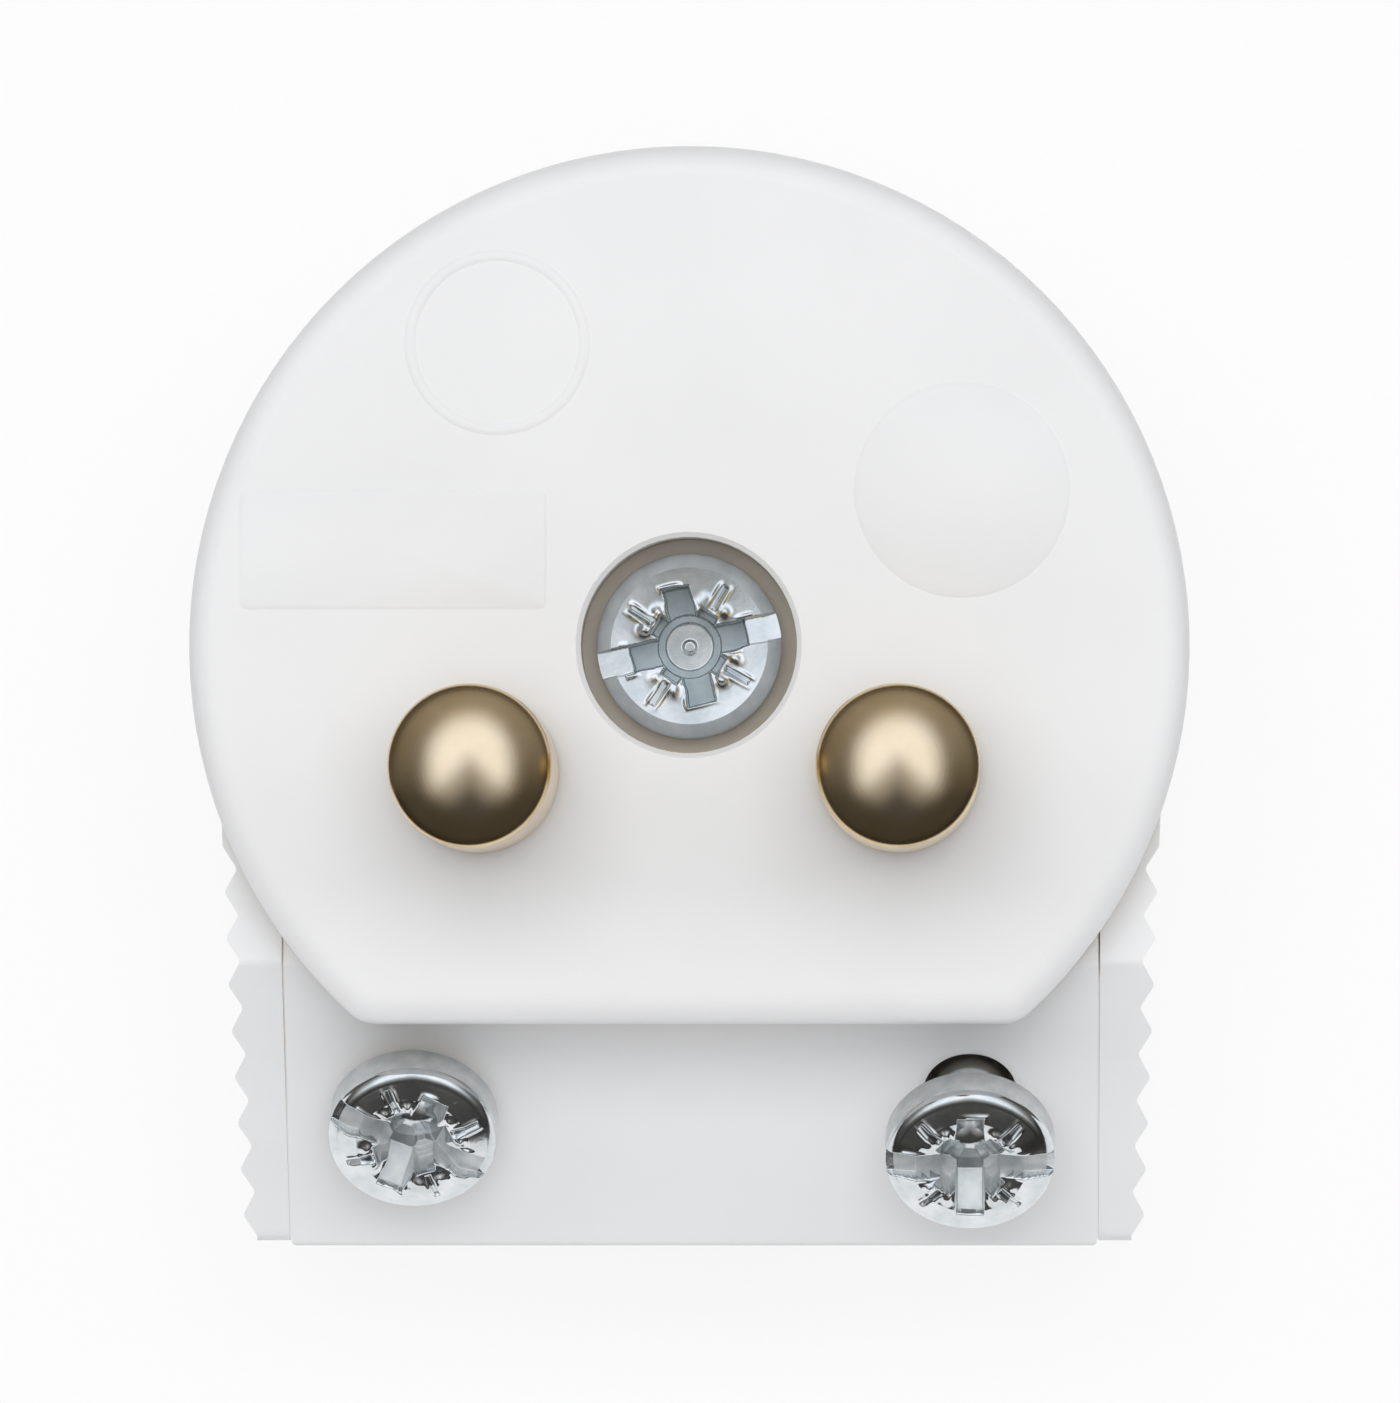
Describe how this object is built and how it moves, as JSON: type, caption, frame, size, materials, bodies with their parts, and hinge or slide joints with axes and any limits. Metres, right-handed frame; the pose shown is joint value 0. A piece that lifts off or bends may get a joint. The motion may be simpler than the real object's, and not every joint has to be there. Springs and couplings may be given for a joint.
{
  "type": "ceiling lamp plug",
  "caption": "Plug for a lamp's ceiling outlet: moulded disc face with round-tipped brass pins, sunk centre screw, hollow housing with finger grips and a sloping screwed cord clamp.",
  "frame": {"origin": "on the centre screw's axis, at the flat back that the plug lies on", "axes": "+Z along the contact pins, out of the face; +Y towards the round top of the face; the cord leaves towards -Y"},
  "size_m": [0.031, 0.0341, 0.0345],
  "materials": {
    "white_plastic": "satin moulded white",
    "brass": "satin turned",
    "zinc_steel": "bright zinc plated"
  },
  "bodies": {
    "housing": {"rear_housing": "white_plastic", "centre_nut": "zinc_steel"},
    "face": {"face_plate": "white_plastic", "pin_left": "brass", "pin_right": "brass"},
    "centre_screw": {"centre_screw": "zinc_steel"},
    "clamp": {"cord_clamp": "white_plastic"},
    "clamp_screw_left": {"clamp_screw_left": "zinc_steel"},
    "clamp_screw_right": {"clamp_screw_right": "zinc_steel"},
    "terminal_screw_left": {"terminal_screw_left": "zinc_steel"},
    "terminal_screw_right": {"terminal_screw_right": "zinc_steel"}
  },
  "joints": [
    {"name": "face_lift", "type": "slide", "parent": "housing", "child": "face", "axis": [0, 0, 1], "range_m": [0, 0.0036]},
    {"name": "centre_screw_turn", "type": "hinge", "parent": "face", "child": "centre_screw", "pos_m": [0, 0, 0.02075], "axis": [0, 0, 1], "range_deg": [-36, 2628]},
    {"name": "clamp_slide", "type": "slide", "parent": "housing", "child": "clamp", "axis": [0, -0.6018, 0.7986], "range_m": [-0.0018, 0]},
    {"name": "clamp_screw_left_turn", "type": "hinge", "parent": "clamp", "child": "clamp_screw_left", "pos_m": [-0.0087, -0.0138, 0.01649], "axis": [0, -0.6018, 0.7986], "range_deg": [-1332, 36]},
    {"name": "clamp_screw_right_turn", "type": "hinge", "parent": "clamp", "child": "clamp_screw_right", "pos_m": [0.0087, -0.0138, 0.01649], "axis": [0, -0.6018, 0.7986], "range_deg": [-1332, 36]},
    {"name": "terminal_left_travel", "type": "slide", "parent": "face", "child": "terminal_screw_left", "axis": [0, 0, 1], "range_m": [0, 0.0018]},
    {"name": "terminal_right_travel", "type": "slide", "parent": "face", "child": "terminal_screw_right", "axis": [0, 0, 1], "range_m": [0, 0.0018]}
  ],
  "couplings": [
    {"joint": "centre_screw_turn", "follows": "face_lift", "rad_per_m": 12566},
    {"joint": "clamp_screw_left_turn", "follows": "clamp_slide", "rad_per_m": 12566},
    {"joint": "clamp_screw_right_turn", "follows": "clamp_slide", "rad_per_m": 12566}
  ]
}
